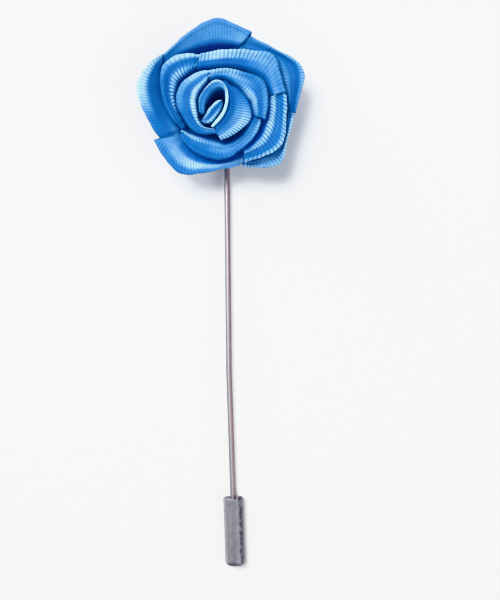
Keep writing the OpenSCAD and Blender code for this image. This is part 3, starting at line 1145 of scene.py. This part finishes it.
@dataclass
class Rose:
    """The rose: five outer, four middle and three inner folds, and the two of its bud."""

    cup: Cup = field(default_factory=Cup)

    def petals(self) -> list[Petal]:
        """Lists all the folds, from the outside in.

        Returns:
            The petals, each with its own table.
        """
        cup = self.cup
        bud = (cup.bud_x, cup.bud_y)
        return [
            Petal("outer_petal_1", cup.outer, (
                (149, 0.80, 143.5, 0.855, 0.78, 0.88), (143, 0.765, 136, 0.832, 0.78, 0.94),
                (135, 0.715, 125, 0.832, 0.76, 0.97), (123.5, 0.652, 116, 0.85, 0.74, 1),
                (113, 0.608, 106.5, 0.883, 0.74, 1), (102, 0.578, 98.5, 0.922, 0.74, 1),
                (91.5, 0.575, 91.5, 0.937, 0.74, 1), (81, 0.588, 83.5, 0.897, 0.76, 1),
                (74.5, 0.608, 75, 0.865, 0.8, 1), (71.8, 0.622, 63.8, 0.846, 0.88, 1)),
                shine=((-0.2, 0.25, 0.45), (-0.2, 0.32, 0.48), (-0.25, 0.42, 0.48),
                       (-0.3, 0.45, 0.42), (-0.35, 0.5, 0.4), (-0.35, 0.62, 0.5),
                       (-0.2, 0.62, 0.45)),
                trough=0.1, ribbing=0.32, puff=0.36, ridges=(0.18, 0.5, 0.72, 0.92)),
            Petal("outer_petal_2", cup.outer, (
                (69.5, 0.625, 62.8, 0.824, 0.84, 0.92), (64.5, 0.64, 57, 0.82, 0.86, 0.93),
                (58, 0.672, 52, 0.826, 0.87, 0.95), (49.5, 0.715, 47, 0.84, 0.88, 0.96),
                (43, 0.78, 38.5, 0.878, 0.9, 0.97), (36.5, 0.82, 29, 0.962, 0.9, 0.98),
                (31, 0.825, 22.5, 1.019, 0.92, 1), (24, 0.80, 16.5, 1.038, 0.94, 1),
                (15, 0.785, 11.5, 1.02, 0.95, 1), (7, 0.795, 5.7, 0.975, 0.95, 0.98),
                (0, 0.815, -0.6, 0.941, 0.93, 0.97), (-6.5, 0.83, -6.6, 0.922, 0.92, 0.96),
                (-12.5, 0.857, -12, 0.918, 0.92, 0.95)),
                shine=((0.4, 0.4, 0.5), (0.3, 0.32, 0.55), (0.25, 0.3, 0.6), (0.3, 0.2, 0.8),
                       (0.5, 0.1, 0.85), (0.6, 0.1, 0.65), (0.45, 0.14, 0.5), (0.3, 0.18, 0.4)),
                ply=0.08, ribbing=0.6, puff=0.28, ridges=(0.3, 0.48, 0.7, 0.9)),
            Petal("outer_petal_3", cup.outer, (
                (-15, 0.84, -14.2, 0.908, 0.88, 0.94), (-23, 0.866, -22, 0.914, 0.88, 0.94),
                (-30, 0.897, -29.8, 0.935, 0.88, 0.94), (-35.5, 0.925, -35.8, 0.966, 0.87, 0.95),
                (-39.7, 0.94, -40.7, 1.01, 0.86, 0.97), (-43.5, 0.936, -44.3, 1.046, 0.84, 0.98),
                (-47.7, 0.925, -48.2, 1.066, 0.83, 0.98), (-52.5, 0.902, -53.4, 1.039, 0.84, 0.97),
                (-59.5, 0.88, -60.7, 0.961, 0.86, 0.96), (-65, 0.862, -66.5, 0.912, 0.87, 0.95),
                (-69.3, 0.85, -71.5, 0.878, 0.88, 0.93)),
                shine=((0.2, 0.3, 0.8), (0.3, 0.4, 0.9), (0.4, 0.5, 0.8), (0.55, 0.65, 0.7),
                       (0.6, 0.7, 0.75)),
                trough=0.2, ply=0.07, rib_height=0.014, ribbing=0.4, puff=0.3, seep=(0.3, 0.2)),
            Petal("outer_petal_4", cup.outer, (
                (-71.5, 0.765, -74.5, 0.86, 0.86, 0.88), (-79.8, 0.778, -81, 0.859, 0.88, 0.92),
                (-87, 0.785, -88.5, 0.865, 0.9, 0.95), (-95, 0.785, -97, 0.903, 0.92, 0.98),
                (-103.5, 0.775, -105, 0.949, 0.93, 1), (-111, 0.758, -112.5, 1.016, 0.94, 1),
                (-119, 0.735, -120, 1.042, 0.94, 1), (-126.5, 0.712, -128, 1.017, 0.94, 1),
                (-132.5, 0.695, -137, 0.985, 0.94, 0.99), (-137.2, 0.685, -147.2, 0.96, 0.95, 1)),
                shine=((0.5, 0.75, 0.55), (0.3, 0.8, 0.55), (0.1, 0.9, 0.5), (0.05, 1.05, 0.42),
                       (0.05, 1.1, 0.3), (0.15, 1, 0.26), (0.45, 0.8, 0.36), (0.7, 0.65, 0.5)),
                trough=0.1, skew=(2.0, 2.0), puff=0.2, seep=(0.3, 0.2)),
            Petal("outer_petal_5", cup.outer, (
                (-140.5, 0.66, -145.7, 0.885, 0.84, 0.9), (-146, 0.648, -151.5, 0.896, 0.8, 0.93),
                (-154.5, 0.648, -161, 0.911, 0.77, 0.96), (-165.5, 0.662, -169.5, 0.934, 0.75, 0.99),
                (-175, 0.693, -176.5, 0.966, 0.74, 1), (-185, 0.723, -183.5, 0.996, 0.74, 1),
                (-194, 0.754, -190, 1.002, 0.76, 1), (-201, 0.784, -198, 0.97, 0.8, 1),
                (-206.5, 0.804, -206.5, 0.918, 0.86, 1), (-210.2, 0.812, -216.8, 0.86, 0.92, 0.97)),
                shine=((0.5, 0.25, 0.3), (0.35, 0.12, 0.3), (0.15, 0.06, 0.38),
                       (0.05, 0.06, 0.7), (0, 0.12, 1.1), (0, 0.15, 1.2), (-0.05, 0.1, 1.1),
                       (-0.1, 0.1, 0.95)),
                trough=0.1, skew=(0.0, -0.9), rib_pitch=0.43, ribbing=0.5, puff=0.28,
                ridges=(0.2, 0.4, 0.48, 0.78)),
            Petal("middle_petal_1", cup.middle, (
                (136.5, 0.443, 118.3, 0.553, 0.96, 0.95), (144.5, 0.461, 128, 0.608, 0.97, 0.96),
                (152, 0.489, 138, 0.677, 0.98, 0.97), (158.5, 0.515, 146, 0.723, 0.99, 0.97),
                (165, 0.53, 154, 0.753, 1, 0.96), (173, 0.537, 165, 0.724, 1, 0.95),
                (181, 0.543, 174.5, 0.697, 1, 0.94), (189, 0.545, 184.5, 0.672, 0.99, 0.93),
                (198, 0.545, 194.5, 0.648, 0.98, 0.92), (207, 0.545, 205.5, 0.63, 0.96, 0.91),
                (215, 0.548, 216, 0.622, 0.94, 0.9)),
                shine=((0.5, 0.25, 1), (0.75, 0.2, 1), (1, 0.12, 0.75), (1.05, 0.08, 0.35),
                       (0.9, 0.12, 0.2), (0.45, 0.2, 0.22), (0.2, 0.25, 0.2)),
                end=End.TUCKED, skew=(0.0, -1.3), rib_fade=0.6, rib_pitch=0.62, ribbing=0.95,
                puff=0.34, puff_ease=1.4, seep=(0.0, 0.25), ridges=(0.3, 0.54, 0.66, 0.86)),
            Petal("middle_petal_2", cup.middle, (
                (134, 0.418, 115.5, 0.528, 0.94, 0.97), (116, 0.356, 104, 0.511, 0.9, 0.99),
                (94, 0.331, 90, 0.515, 0.88, 1), (74, 0.348, 75, 0.544, 0.88, 1),
                (58, 0.38, 60.5, 0.60, 0.9, 1), (44.5, 0.418, 49, 0.672, 0.92, 1),
                (33, 0.469, 41, 0.75, 0.94, 1), (23, 0.522, 33, 0.785, 0.95, 0.99),
                (15, 0.56, 22.5, 0.755, 0.95, 0.98), (7, 0.58, 11, 0.752, 0.95, 0.98),
                (-1.2, 0.597, 1.8, 0.779, 0.96, 0.98)),
                shine=((0.1, 0.15, 0.9), (0.05, 0.08, 1.1), (0.05, 0.08, 1.1), (0, 0.12, 1),
                       (0.05, 0.4, 0.85), (0.1, 0.52, 0.65), (0.12, 0.58, 0.5),
                       (0.15, 0.68, 0.5)),
                start=End.FREE, trough=0.3, rib_pitch=0.57, ribbing=0.6, puff=0.22,
                seep=(0.0, 0.15), ridges=(0.14, 0.3, 0.42, 0.64)),
            Petal("middle_petal_3", cup.middle, (
                (-3.6, 0.603, -0.3, 0.783, 0.97, 0.95), (-11.5, 0.616, -8.5, 0.797, 0.99, 0.96),
                (-20.5, 0.636, -17, 0.82, 1, 0.96), (-29.5, 0.66, -25.5, 0.862, 1, 0.96),
                (-39, 0.688, -32.5, 0.908, 1, 0.97), (-47, 0.706, -38.5, 0.94, 1, 0.97),
                (-54, 0.72, -45.5, 0.93, 1, 0.97), (-60.5, 0.73, -55.5, 0.892, 0.99, 0.97),
                (-65, 0.735, -63.5, 0.862, 0.98, 0.96), (-67.5, 0.737, -70.3, 0.85, 0.97, 0.95)),
                shine=((0.95, 0.25, 0.9), (1.1, 0.25, 1), (1.1, 0.3, 1), (1, 0.25, 0.95),
                       (0.95, 0.2, 0.95), (0.85, 0.25, 0.95), (0.75, 0.35, 0.85)),
                skew=(-1.6, -2.0), rib_pitch=0.54, ribbing=0.8, puff=0.22, seep=(0.35, 0.2),
                ridges=(0.24, 0.46, 0.72, 0.9)),
            Petal("middle_petal_4", cup.middle, (
                (-38, 0.486, -34, 0.582, 0.9, 0.92), (-45, 0.508, -39, 0.596, 0.92, 0.94),
                (-53, 0.534, -46, 0.622, 0.93, 0.95), (-60.5, 0.557, -53, 0.648, 0.94, 0.96),
                (-68, 0.577, -61, 0.668, 0.95, 0.96), (-77.5, 0.594, -70.5, 0.698, 0.95, 0.96),
                (-87, 0.592, -81, 0.75, 0.94, 0.97), (-94.5, 0.565, -92.5, 0.77, 0.92, 0.97),
                (-105, 0.553, -102, 0.765, 0.92, 0.97), (-116, 0.568, -111, 0.75, 0.93, 0.97),
                (-126, 0.59, -120, 0.73, 0.94, 0.96), (-133.7, 0.61, -131, 0.69, 0.96, 0.95),
                (-137.8, 0.63, -133.5, 0.67, 0.96, 0.94)),
                shine=((0.4, 0.4, 0.8), (0.4, 0.4, 0.75), (0.4, 0.45, 0.55), (0.45, 0.45, 0.35),
                       (0.65, 0.45, 0.25), (0.75, 0.3, 0.2), (0.85, 0.15, 0.15),
                       (0.85, 0.25, 0.3)),
                trough=0.3, rib_pitch=0.5, ribbing=0.45, puff=0.18, seep=(0.3, 1.0)),
            Petal("inner_petal_1", cup.inner, (
                (129, 0.225, 116, 0.305, 0.98, 0.97), (143.5, 0.212, 133, 0.338, 0.99, 0.97),
                (161, 0.224, 148, 0.384, 1, 0.96), (173, 0.248, 161, 0.438, 1, 0.95),
                (184.5, 0.27, 172, 0.478, 1, 0.95), (197, 0.294, 183, 0.508, 1, 0.94),
                (209.5, 0.32, 194, 0.516, 1, 0.94), (220, 0.354, 206.5, 0.51, 1, 0.94),
                (229, 0.393, 219, 0.512, 0.99, 0.94), (238, 0.424, 230, 0.522, 0.98, 0.95),
                (246.5, 0.432, 243.5, 0.515, 0.96, 0.95), (256, 0.417, 260, 0.482, 0.93, 0.93)),
                shine=((0.75, 0.3, 0.9), (0.95, 0.25, 0.9), (1.05, 0.15, 0.75), (1.05, 0.08, 0.5),
                       (1.05, 0.08, 0.2), (1.05, 0.15, 0.2), (1, 0.5, 0.25), (0.85, 0.6, 0.3)),
                end=End.TUCKED, trough=0.3, rib_fade=0.5, rib_pitch=0.56, ribbing=0.5,
                puff=0.34, puff_ease=1.4, seep=(0.0, 0.55)),
            Petal("inner_petal_2", cup.inner, (
                (127.5, 0.206, 113, 0.27, 0.97, 0.98), (100.5, 0.188, 93, 0.279, 0.97, 1),
                (69, 0.18, 70.5, 0.302, 0.98, 1), (34.5, 0.205, 47, 0.347, 0.98, 1),
                (12.5, 0.25, 32, 0.427, 0.99, 1), (-1.5, 0.302, 22, 0.498, 0.99, 1),
                (-10.5, 0.352, 12, 0.543, 1, 1), (-16, 0.39, 1, 0.558, 1, 1),
                (-23.5, 0.428, -10.5, 0.57, 0.99, 0.99), (-29.5, 0.466, -20.5, 0.588, 0.97, 0.98),
                (-32.8, 0.496, -29.8, 0.612, 0.95, 0.96)),
                shine=((0.2, 0.6, 0.85), (0.15, 0.6, 0.95), (0.3, 0.75, 0.75), (0.6, 0.6, 0.4),
                       (0.85, 0.3, 0.4), (0.9, 0.15, 0.55), (0.85, 0.12, 0.6), (0.6, 0.2, 0.55)),
                start=End.FREE, trough=0.35, rib_pitch=0.5, puff=0.2, seep=(0.15, 0.25),
                ridges=(0.24, 0.44, 0.56, 0.78)),
            Petal("inner_petal_3", cup.inner, (
                (66, 0.322, 55, 0.365, 0.97, 0.93), (50, 0.272, 42.5, 0.376, 0.97, 0.9),
                (37, 0.232, 28, 0.396, 0.97, 0.88), (20, 0.192, 14.5, 0.427, 0.97, 0.87),
                (0, 0.162, 2, 0.45, 0.97, 0.88), (-29, 0.145, -11, 0.455, 0.97, 0.89),
                (-53, 0.148, -24, 0.42, 0.97, 0.9), (-74, 0.172, -40.5, 0.381, 0.97, 0.92),
                (-83, 0.215, -59, 0.358, 0.96, 0.94), (-81, 0.29, -75, 0.35, 0.95, 0.95)),
                shine=((0.15, 0.1, 0.15), (0.1, 0.1, 0.15), (0.05, 0.25, 0.25), (0.05, 0.5, 0.55),
                       (0.05, 0.65, 0.95), (0.05, 0.5, 1.1), (0.1, 0.4, 1.1), (0.3, 0.6, 0.95)),
                centre=bud, trough=0.2, skew=(-2.4, 0.6), rib_pitch=0.45, ribbing=1.0,
                puff=0.34, puff_ease=1.4, seep=(0.1, 0.4), ridges=(0.26, 0.46, 0.56, 0.8)),
            Petal("bud_wrap", cup.bud, (
                (207, 0.112, 206, 0.142, 0.91, 0.92), (196, 0.094, 190, 0.162, 0.93, 0.95),
                (155, 0.102, 167, 0.17, 0.93, 0.97), (134, 0.118, 146, 0.193, 0.93, 0.98),
                (117, 0.138, 127, 0.225, 0.93, 0.99), (93, 0.19, 109, 0.262, 0.93, 1),
                (79.5, 0.233, 92, 0.32, 0.94, 1), (68.5, 0.256, 78.5, 0.348, 0.95, 1),
                (60, 0.258, 66.5, 0.336, 0.96, 1), (51, 0.236, 52, 0.292, 0.98, 1),
                (36.5, 0.192, 36.5, 0.238, 0.98, 1), (18, 0.152, 14, 0.188, 0.98, 1),
                (-14.5, 0.118, -17, 0.157, 0.98, 0.99), (-53.5, 0.12, -53, 0.16, 0.97, 0.98),
                (-84, 0.155, -81.5, 0.196, 0.95, 0.96)),
                shine=((0.5, 0.25, 0.4), (0.5, 0.25, 0.5), (0.4, 0.3, 0.75), (0.3, 0.35, 1),
                       (0.5, 0.6, 1.2), (1.2, 1.2, 1.3), (1.5, 1.5, 1.4), (1.5, 1.5, 1.4),
                       (1.3, 1.3, 1.2)),
                start=End.FREE, end=End.TUCKED, centre=bud, trough=0.06, ply=0.08,
                rib_height=0.014, ribbing=0.35, tuck=0.5, seep=(0.0, 0.2),
                ridges=(0.16, 0.36, 0.62, 0.86)),
            Petal("bud_core", cup.bud, (
                (223.5, 0.181, 226.5, 0.198, 0.86, 0.88), (221, 0.138, 246.5, 0.185, 0.9, 0.9),
                (211, 0.093, 266.5, 0.142, 0.93, 0.9), (173, 0.05, 297, 0.096, 0.95, 0.89),
                (101, 0.054, 342, 0.093, 0.96, 0.88), (63, 0.104, 376, 0.122, 0.97, 0.9),
                (44.5, 0.152, 396, 0.148, 0.96, 0.94)),
                shine=((0.7, 0.7, 0.8), (0.9, 0.15, 1), (1.15, 0.1, 0.8), (1.2, 0.2, 0.35)),
                start=End.FREE, centre=bud, trough=0.3, ribbing=0.35, seep=(0.0, 0.0),
                ridges=(0.22, 0.44, 0.62, 0.84)),
        ]

    def build(self) -> None:
        """Makes every fold in satin."""
        satin = Satin("satin_ribbon").make()
        for petal in self.petals():
            petal.build(self.cup, satin)


@dataclass(frozen=True)
class Lamp:
    """A square soft light that faces the pin: place and side in metres, power in watts."""

    name: str
    place: Row
    side: float
    power: float
    colour: tuple[float, float, float]
    aim: Row = (0.0, -0.02, 0.0)

    def hang(self) -> None:
        """Hangs the light."""
        lamp = bpy.data.lights.new(self.name, "AREA")
        lamp.shape, lamp.size, lamp.energy, lamp.color = "SQUARE", self.side, self.power, self.colour
        hung = bpy.data.objects.new(self.name, lamp)
        hung.location = self.place
        aim = Vector(self.aim) - Vector(self.place)
        hung.rotation_euler = aim.to_track_quat("-Z", "Y").to_euler()
        bpy.context.scene.collection.objects.link(hung)


@dataclass
class Studio:
    """Pale floor, soft lights and the camera at the photograph's angle, in metres."""

    floor_side: float = 6.0
    lamps: tuple[Lamp, ...] = (
        Lamp("key_soft", (-0.1, 0.1, 0.42), 0.16, 2.35, (1.0, 0.99, 0.97)),
        Lamp("fill_soft", (0.34, -0.2, 0.34), 0.4, 1.95, (0.93, 0.96, 1.0)),
        Lamp("rim_soft", (-0.36, 0.3, 0.2), 0.3, 1.7, (1.0, 1.0, 1.0)))
    room_colour: Colour = (0.9, 0.93, 1.0, 1.0)
    room_light: float = 0.24
    camera_place: Row = (0.00337, -0.03043, 0.17)
    camera_roll: float = PHOTO_LEAN
    focal_length: float = 65.2
    film_width: float = 36.0
    clip: Pair = (0.005, 10.0)

    def build(self) -> None:
        """Makes the floor, the lights, the room's own light and the camera."""
        card = bmesh.new()
        bmesh.ops.create_grid(card, x_segments=4, y_segments=4, size=self.floor_side / 2)
        as_piece(card, "floor_card", PaleCard().make())
        for lamp in self.lamps:
            lamp.hang()
        world = bpy.data.worlds.new("soft_room")
        world.use_nodes = True
        light = world.node_tree.nodes["Background"].inputs
        light["Color"].default_value = self.room_colour
        light["Strength"].default_value = self.room_light
        scene = bpy.context.scene
        scene.world = world
        scene.view_settings.view_transform = "Khronos PBR Neutral"
        lens = bpy.data.cameras.new("camera")
        lens.lens, lens.sensor_width, lens.sensor_fit = self.focal_length, self.film_width, "AUTO"
        lens.clip_start, lens.clip_end = self.clip
        camera = bpy.data.objects.new("camera", lens)
        camera.location = self.camera_place
        camera.rotation_euler = (0.0, 0.0, self.camera_roll)
        scene.collection.objects.link(camera)
        scene.camera = camera
        LOG.info("studio: %d soft lights", len(self.lamps))


def main() -> None:
    """Builds the studio, the rose and the metal."""
    logging.basicConfig(level=logging.INFO, format="%(name)s: %(message)s")
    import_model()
    Studio().build()
    GatheredFoot().build(Satin("gathered_satin").make())
    Rose().build()
    stick = Stick()
    stick.build(Nickel("nickel_wire").make())
    barrel_plate = Nickel("nickel_barrel", tone=(0.43, 0.42, 0.46, 1.0),
                          painted_side_reflection=(0.215, 0.21, 0.24, 1.0), turn=(0.28, 0.45), specks_and_painted_bands=1.0,
                          marks=(2500.0, 400.0, 2500.0))
    Clutch(stick).build(barrel_plate.make())


if __name__ == "__main__":
    main()
